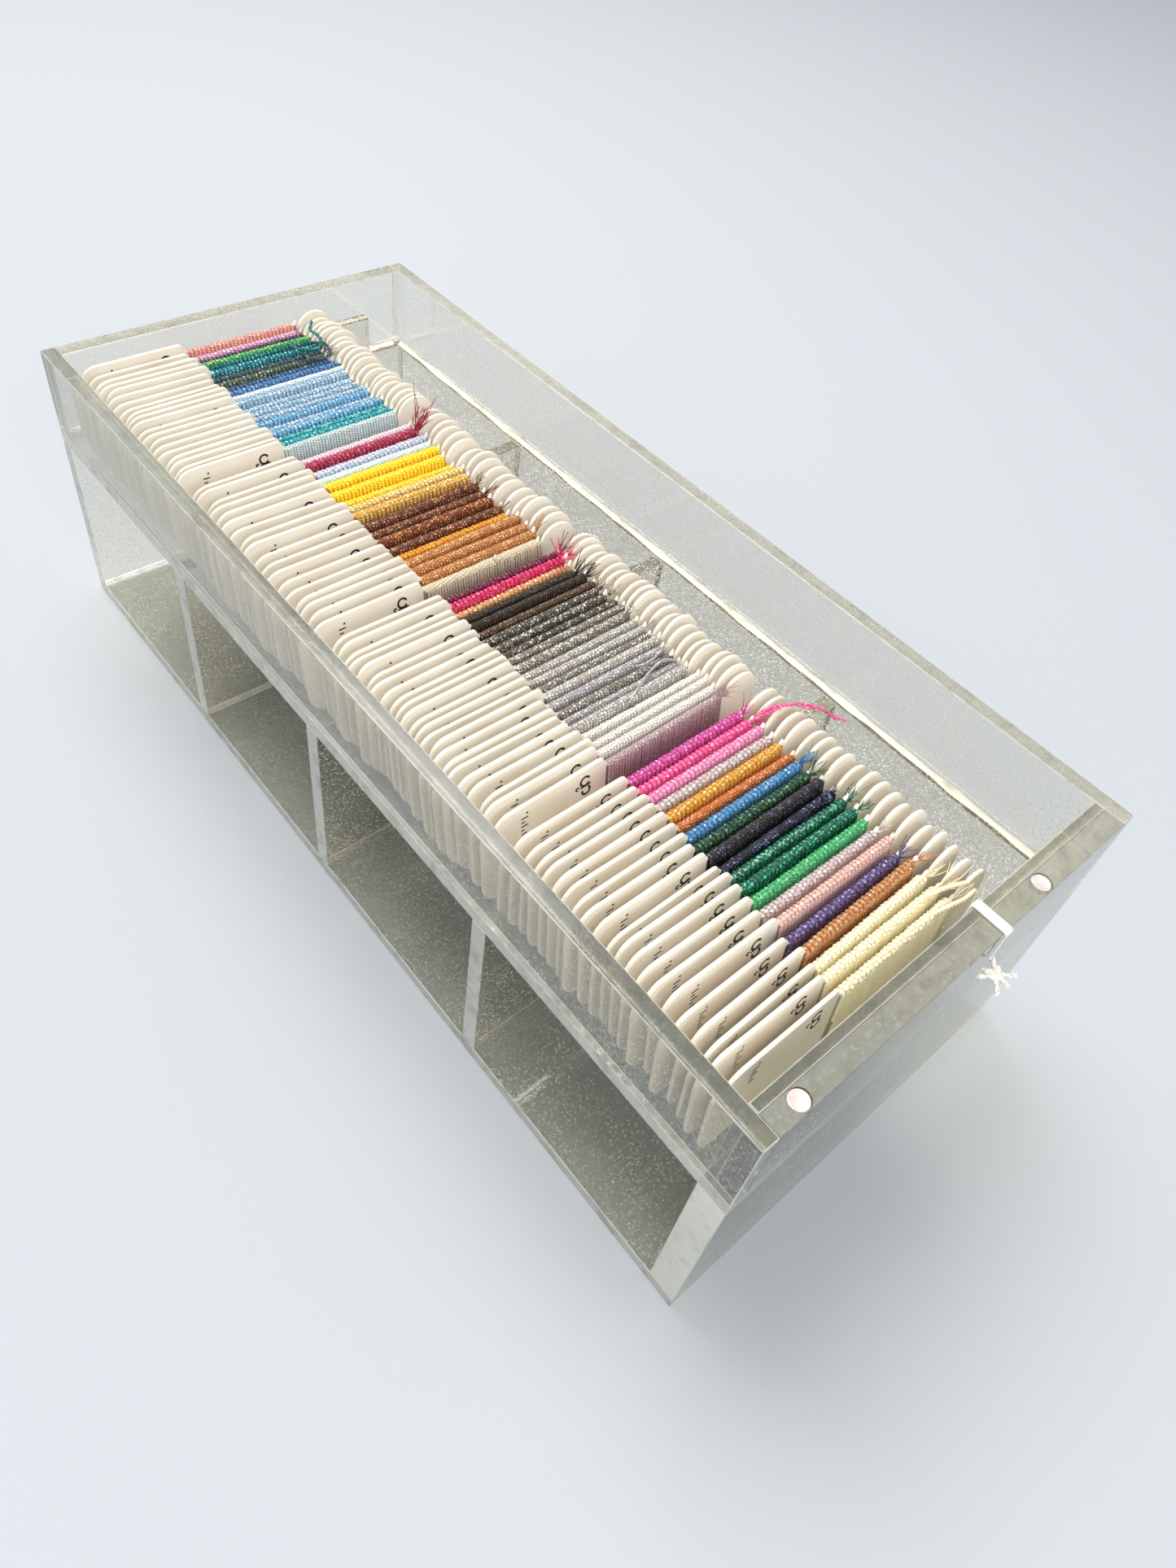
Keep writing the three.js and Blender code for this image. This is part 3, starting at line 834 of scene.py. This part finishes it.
def winding_tree():
    """One long strand wound round a flat card: up one side, over the top and down the other."""
    tree = bpy.data.node_groups.new("wound_thread", "GeometryNodeTree")
    tree.interface.new_socket("Turns", in_out="INPUT", socket_type="NodeSocketInt")
    for label in ("Length", "Half Width", "Half Height", "Strand", "Slant", "Wobble", "Seed"):
        tree.interface.new_socket(label, in_out="INPUT", socket_type="NodeSocketFloat")
    tree.interface.new_socket("Thread", in_out="INPUT", socket_type="NodeSocketMaterial")
    tree.interface.new_socket("Geometry", in_out="OUTPUT", socket_type="NodeSocketGeometry")
    nodes = Nodes(tree)
    given = nodes.add("NodeGroupInput").outputs
    last = nodes.math("MULTIPLY", given["Turns"], float(STEPS_A_TURN))
    line = nodes.add("GeometryNodeMeshLine", mode="OFFSET", count_mode="TOTAL")
    nodes.put(line.inputs["Count"], nodes.math("ADD", last, 1.0))
    index = nodes.add("GeometryNodeInputIndex").outputs[0]
    turn = nodes.math("MULTIPLY", index, math.tau / STEPS_A_TURN)
    sine = nodes.math("SINE", turn)
    across = nodes.math("MULTIPLY", nodes.math("COSINE", turn), given["Half Width"])
    straight = nodes.math("SUBTRACT", given["Half Height"], given["Half Width"])
    side = nodes.range(sine, -0.5, 0.5, -1.0, 1.0)
    height = nodes.math("ADD", nodes.math("MULTIPLY", side, straight),
                        nodes.math("MULTIPLY", sine, given["Half Width"]))
    share = nodes.math("SUBTRACT", nodes.math("DIVIDE", index, last), 0.5)
    along = nodes.math("ADD", nodes.math("MULTIPLY", share, given["Length"]),
                       nodes.math("MULTIPLY", across, given["Slant"]))
    place = nodes.add("ShaderNodeCombineXYZ", {0: across, 1: along, 2: height}).outputs[0]
    drift = nodes.add("ShaderNodeTexNoise", {"Vector": place, "W": given["Seed"], "Scale": 420.0},
                      noise_dimensions="4D").outputs["Color"]
    middle = (0.5, 0.5, 0.5)
    centred = nodes.add("ShaderNodeVectorMath", {0: drift, 1: middle}, operation="SUBTRACT").outputs[0]
    shift = nodes.add("ShaderNodeVectorMath", {0: centred, "Scale": given["Wobble"]}, operation="SCALE")
    moved = nodes.add("GeometryNodeSetPosition", {
        "Geometry": line.outputs[0], "Position": place, "Offset": shift.outputs[0]})
    strand = nodes.add("GeometryNodeMeshToCurve", {0: moved.outputs[0]}).outputs[0]
    spline = nodes.add("GeometryNodeSplineParameter").outputs
    kept_along = nodes.add("GeometryNodeStoreNamedAttribute", {
        "Geometry": strand, "Name": "along", "Value": spline["Length"]}, domain="POINT")
    ring = nodes.add("GeometryNodeCurvePrimitiveCircle", {
        "Resolution": STRAND_SIDES, "Radius": given["Strand"]}, mode="RADIUS")
    kept_around = nodes.add("GeometryNodeStoreNamedAttribute", {
        "Geometry": ring.outputs[0], "Name": "around", "Value": spline["Factor"]}, domain="POINT")
    cord = nodes.add("GeometryNodeCurveToMesh", {
        "Curve": kept_along.outputs[0], "Profile Curve": kept_around.outputs[0], "Fill Caps": True})
    real = nodes.add("GeometryNodeRealizeInstances", {0: cord.outputs[0]})
    done = nodes.add("GeometryNodeSetMaterial", {"Geometry": real.outputs[0], "Material": given["Thread"]})
    nodes.add("NodeGroupOutput", {0: done.outputs[0]})
    return tree


def grow(tree, values):
    """The mesh that a geometry tree makes from these named inputs."""
    holder = new_object("holder", bpy.data.meshes.new("holder"))
    modifier = holder.modifiers.new("grow", "NODES")
    modifier.node_group = tree
    for item in tree.interface.items_tree:
        if item.in_out == "INPUT" and item.name in values:
            modifier[item.identifier] = values[item.name]
    bpy.context.view_layer.update()
    view = bpy.context.evaluated_depsgraph_get()
    mesh = bpy.data.meshes.new_from_object(holder.evaluated_get(view), preserve_all_data_layers=True,
                                           depsgraph=view)
    bpy.data.objects.remove(holder)
    return mesh


def core(half_width, half_height, length):
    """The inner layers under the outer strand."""
    ring = []
    for at in range(STEPS_A_TURN):
        turn = math.tau * at / STEPS_A_TURN
        side = max(-1.0, min(1.0, 2 * math.sin(turn)))
        height = side * (half_height - half_width) + half_width * math.sin(turn)
        ring.append((half_width * math.cos(turn), height))
    bm = bmesh.new()
    skin(bm, [[bm.verts.new((x, y, z)) for x, z in ring] for y in (-length / 2, length / 2)])
    bmesh.ops.recalc_face_normals(bm, faces=bm.faces)
    return bm_to_mesh("core", bm)


def paint(mesh, thread, painted_shade_factor=1.0):
    """Gives every point of a mesh the thread's colour, the colour of its painted glints and its share of
    foil; a factor below one darkens both colours as painted shade.
    """
    own, painted_glint, foil_and_glint = THREADS[thread]
    for name, colour in (("thread_colour", linear(own)), ("thread_painted_glint", linear(painted_glint, foil_and_glint))):
        layer = mesh.attributes.new(name, "FLOAT_COLOR", "POINT")
        value = [part * painted_shade_factor for part in colour[:3]] + [colour[3]]
        layer.data.foreach_set("color", value * len(mesh.vertices))
    for name in ("along", "around"):
        if name not in mesh.attributes:
            mesh.attributes.new(name, "FLOAT", "POINT")


def joined(name, meshes):
    bm = bmesh.new()
    for mesh in meshes:
        bm.from_mesh(mesh)
    return bm_to_mesh(name, bm)


def fringe(bm, foot, lean, reach, count, rng, radius=0.19 * MM):
    """A cut end that has opened into a brush of fine fibres."""
    for _ in range(count):
        spread = Vector([rng.uniform(-1, 1) for _ in range(3)])
        tip = foot + (lean.normalized() + spread * 0.42) * reach * rng.uniform(0.7, 1.1)
        bend = foot.lerp(tip, 0.5) + Vector([rng.uniform(-1, 1) for _ in range(3)]) * reach * 0.12
        sweep(bm, resample([foot, bend, tip], reach / 6), round_section(radius, 4),
              taper=lambda part: 1.0 - 0.6 * part)


# Loose ends that stand out of the row: card number, then where the end leaves the winding (from
# the tongue), the way it points, its reach in mm and how many fibres it has opened into.
LOOSE_ENDS = [
    (2, 2, (0.1, 0.2, 0.6), 3.0, 6), (6, 3, (0.2, 0.1, 0.7), 3.0, 5), (7, 1, (0.1, 0.5, 0.6), 4.5, 7),
    (8, 0, (0.3, 0.6, 0.5), 4.5, 7), (17, 12, (0.3, -0.5, 0.5), 4.0, 6), (23, 1, (0.1, 0.2, 1.0), 10.5, 14),
    (23, 0, (0.0, 0.3, 1.0), 7.5, 8), (31, 1, (0.2, 0.5, 0.8), 5.0, 7), (32, 1, (0.3, 0.6, 0.7), 5.5, 8),
    (34, 2, (0.2, 0.5, 0.7), 4.0, 6), (38, 0, (0.2, 0.5, 0.9), 6.0, 8), (40, 1, (0.1, 0.6, 0.8), 6.0, 9),
    (41, 3, (0.6, -0.6, 0.4), 6.5, 12), (41, 2, (-0.7, 0.2, 0.5), 6.0, 10), (41, 1, (0.3, 0.9, 0.5), 5.5, 9),
    (43, 1, (0.2, 0.4, 0.8), 6.0, 9), (44, 1, (0.4, 0.5, 0.6), 5.5, 9), (46, 1, (0.3, 0.3, 0.8), 5.0, 8),
    (47, 0, (0.3, 0.8, 0.6), 5.0, 7), (50, 2, (0.2, 0.5, 0.5), 4.0, 6), (52, 0, (0.3, 0.6, 0.6), 4.0, 6),
    (55, 3, (0.3, 0.6, 0.6), 5.0, 7), (57, 22, (0.6, -0.7, 0.3), 4.0, 7), (62, 2, (0.2, 0.4, 0.8), 5.0, 11),
    (62, 0, (0.4, 0.7, 0.5), 4.5, 9), (63, 1, (0.1, 0.4, 0.8), 5.5, 10), (64, 0, (0.3, 0.9, 0.3), 6.0, 14),
    (69, 2, (0.2, 0.5, 0.8), 6.0, 11), (69, 0, (0.4, 0.6, 0.6), 4.5, 8), (70, 1, (0.2, 0.5, 0.7), 5.5, 10),
    (72, 2, (0.1, 0.5, 0.8), 3.0, 8), (73, 1, (0.2, 0.6, 0.7), 6.0, 11), (74, 0, (0.3, 0.7, 0.5), 4.5, 8),
    (76, 0, (0.2, 0.6, 0.5), 4.0, 7), (78, 1, (0.2, 0.5, 0.7), 5.5, 10), (79, 0, (0.3, 0.7, 0.4), 4.0, 7),
    (80, 1, (0.1, 0.8, 0.6), 6.0, 9), (81, 1, (0.2, 0.8, 0.5), 7.0, 10), (82, 0, (0.2, 0.9, 0.4), 6.0, 8),
]

# Single strands that have slipped off a winding: card number, radius in mm, and the points passed,
# in mm along the box, across it and up from the tongue end of that winding.
SLIPPED = [
    (5, 0.42, ((0, -9, 0.3), (2, -11, 2.6), (7, -11, 3.2), (11, -7, 3.4), (10, -2.5, 3.6), (5, -0.5, 4),
               (0, -1, 4.4), (-4, 2, 4.8))),
    (7, 0.36, ((0, -8, 0.3), (2, -9.5, 2.4), (6, -9, 2.6), (8.5, -5, 2.8), (6.5, -1, 3.4),
               (1.5, -0.5, 3.8), (-1, -4, 3.8))),
    (57, 0.3, ((0, 0, 0.3), (-1.6, -5, 1.8), (-0.6, -11, 1.6), (2, -17, 1.7), (5.5, -24, 1.9))),
    (55, 0.25, ((0, 0, 0.3), (2.5, -4, 1.9), (3.5, -9, 1.6), (3, -14, 1.7))),
    (64, 0.32, ((0, 0, 0.3), (2, 5, 3.5), (5, 8.5, 5), (6, 13.5, 3.2), (9.5, 17, 2.4), (10.5, 22, -2),
                (13.5, 26, -4.5))),
    (64, 0.26, ((0, -1, 0.3), (3, 4, 3.8), (4.5, 9.5, 4.4), (8, 13, 3.6), (8.5, 18, 1.2), (12, 22.5, -3))),
    (81, 0.45, ((0, -6, 0.6), (1.5, -2, 2.2), (3.2, 2, 2.8), (4.2, 6, 1.6))),
    (82, 0.45, ((0, -9, 0.6), (1.4, -4, 1.8), (2.6, 0.5, 2.4), (2.4, 5, 2.0))),
]

# Small knots left on a winding: card number, mm back from the tongue end, radius in mm.
KNOTS = [(39, 17, 1.2), (72, 4, 1.5), (31, 6, 0.9)]


def loose_ends(number, thread, tongue_end):
    """The brushes, slipped strands and knots of one card's thread, or None if it has none of them."""
    bm = bmesh.new()
    rng = random.Random(number * 7)
    for _, back, way, reach, count in (row for row in LOOSE_ENDS if row[0] == number):
        foot = tongue_end - Vector((0, back * MM, 0.6 * MM))
        fringe(bm, foot, Vector(way), reach * MM, count, rng)
    for _, radius, points in (row for row in SLIPPED if row[0] == number):
        line = resample([tongue_end + Vector(point) * MM for point in points], 0.5 * MM)
        two_ply(bm, line, radius * 0.85 * MM, number, lay=1.8 * MM)
    for _, back, radius in (row for row in KNOTS if row[0] == number):
        turns = [math.tau * at / 30 for at in range(31)]
        middle = tongue_end + Vector((0.4, -back, 0.5)) * MM
        coil = [middle + Vector((math.cos(2 * turn) * (1.0 + 0.3 * math.cos(3 * turn)), math.sin(2 * turn),
                                 0.6 * math.sin(3 * turn))) * radius * 0.6 * MM for turn in turns]
        sweep(bm, coil, round_section(radius * 0.42 * MM, 6))
    if not bm.verts:
        bm.free()
        return None
    bmesh.ops.recalc_face_normals(bm, faces=bm.faces)
    mesh = bm_to_mesh("loose_ends", bm)
    paint(mesh, thread)
    return mesh


def make_lint():
    """Curls of white fibre that lie on the tray's floor behind the cards."""
    curls = [
        ((129, 36, 77), (130, 40, 79), (133, 42, 80), (135, 39.5, 79), (133, 37, 78), (131, 41, 78),
         (134, 45, 77)),
        ((126, 35, 78), (128, 38, 80.5), (131, 38, 81), (132, 42, 79), (136, 44, 77)),
        ((79, 50, 75.8), (80, 52, 77), (82, 51.5, 77.4), (81.5, 49.5, 76.4)),
        ((-2, 50, 75.8), (-1, 53, 77.4), (1, 54, 77), (0.6, 51.5, 76)),
        ((-96, 40, 76), (-92, 43, 76.4), (-87, 44, 76.6), (-83, 47, 76.2)),
        ((-90, 38, 76), (-86, 42, 76.8), (-82, 41.5, 76.4)),
        ((157, 36, 90), (158.5, 38, 93), (158.4, 41, 94), (158, 43, 92)),
    ]
    bm = bmesh.new()
    for curl in curls:
        line = resample([Vector(point) * MM for point in curl], 0.5 * MM)
        sweep(bm, line, round_section(0.16 * MM, 5), taper=lambda part: 1.0 - 0.5 * part)
    bmesh.ops.recalc_face_normals(bm, faces=bm.faces)
    mesh = bm_to_mesh("stray_lint", bm)
    shade_smooth(mesh, 70)
    new_piece("stray_lint", mesh, "tray", [COTTON])


WAIST = CARD_LENGTH - HEAD - TONGUE
WAIST_MIDDLE = (HEAD - TONGUE) / 2


def wound_thread(tree, place, rng):
    """The thread on one card, about the middle of its waist: outer strand, inner layers and loose ends."""
    thread = place["thread"]
    turns = rng.randint(40, 45) if thread in FINE_BRAIDS else rng.randint(27, 31)
    strand = WAIST / turns * 0.49
    half_width = place["pitch"] / 2 - strand - rng.uniform(0.25, 0.4) * MM
    half_height = WINDING_HEIGHT / 2 - rng.uniform(0.7, 1.4) * MM
    winding = grow(tree, {
        "Turns": turns, "Length": WAIST - strand * 2, "Half Width": half_width,
        "Half Height": half_height, "Strand": strand, "Slant": rng.uniform(0.45, 1.0),
        "Wobble": 0.5 * MM, "Seed": float(place["number"]), "Thread": BRAID})
    inner = core(half_width, half_height, WAIST - 0.6 * MM)
    paint(winding, thread)
    # Painted shade: the inner layers take the thread's colour at 0.38, so the creases between the turns look
    # dark.
    paint(inner, thread, 0.38)
    tongue_end = Vector((half_width * 0.3, WAIST / 2, half_height))
    brush = loose_ends(place["number"], thread, tongue_end)
    return [winding, inner, brush] if brush else [winding, inner]


def make_bobbins():
    """Each body's cards as one piece and the thread on them as another."""
    tree = winding_tree()
    blank = blank_card()
    marks = print_marks()
    rng = random.Random(82)
    cards, threads = {}, {}
    fan = 0.0
    for place in card_places():
        fan = 0.6 * fan + rng.uniform(-1, 1)
        settled = place["slump"] * place["part"] ** 3 - 0.8 * (1 - place["part"]) ** 3
        lean = Matrix.Identity(4)
        lean[0][2] = -LEAN + 0.034 * fan - 0.04 * settled
        yaw = Matrix.Rotation(math.radians(0.5 * fan + rng.uniform(-0.6, 0.6)), 4, "Z")
        shift = Vector((-settled, rng.uniform(-0.85, 1.4), rng.uniform(-1.7, 0.05))) * MM
        put = Matrix.Translation(place["middle"] + shift) @ yaw @ lean
        board = [blank.copy(), marks.copy()]
        for part in board:
            part.transform(put)
        cards.setdefault(place["body"], []).extend(board)
        thread = wound_thread(tree, place, rng)
        for part in thread:
            part.transform(put @ Matrix.Translation((0, WAIST_MIDDLE, 0)))
        threads.setdefault(place["body"], []).extend(thread)
    for body, meshes in cards.items():
        mesh = joined(body + "_cards", meshes)
        piece = new_piece(body + "_cards", mesh, body, [CARD, INK])
        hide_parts(body)
    for body, meshes in threads.items():
        mesh = joined(body + "_thread", meshes)
        mesh.materials.clear()
        shade_smooth(mesh, 75)
        new_piece(body + "_thread", mesh, body, [BRAID])


make_bobbins()
make_lint()
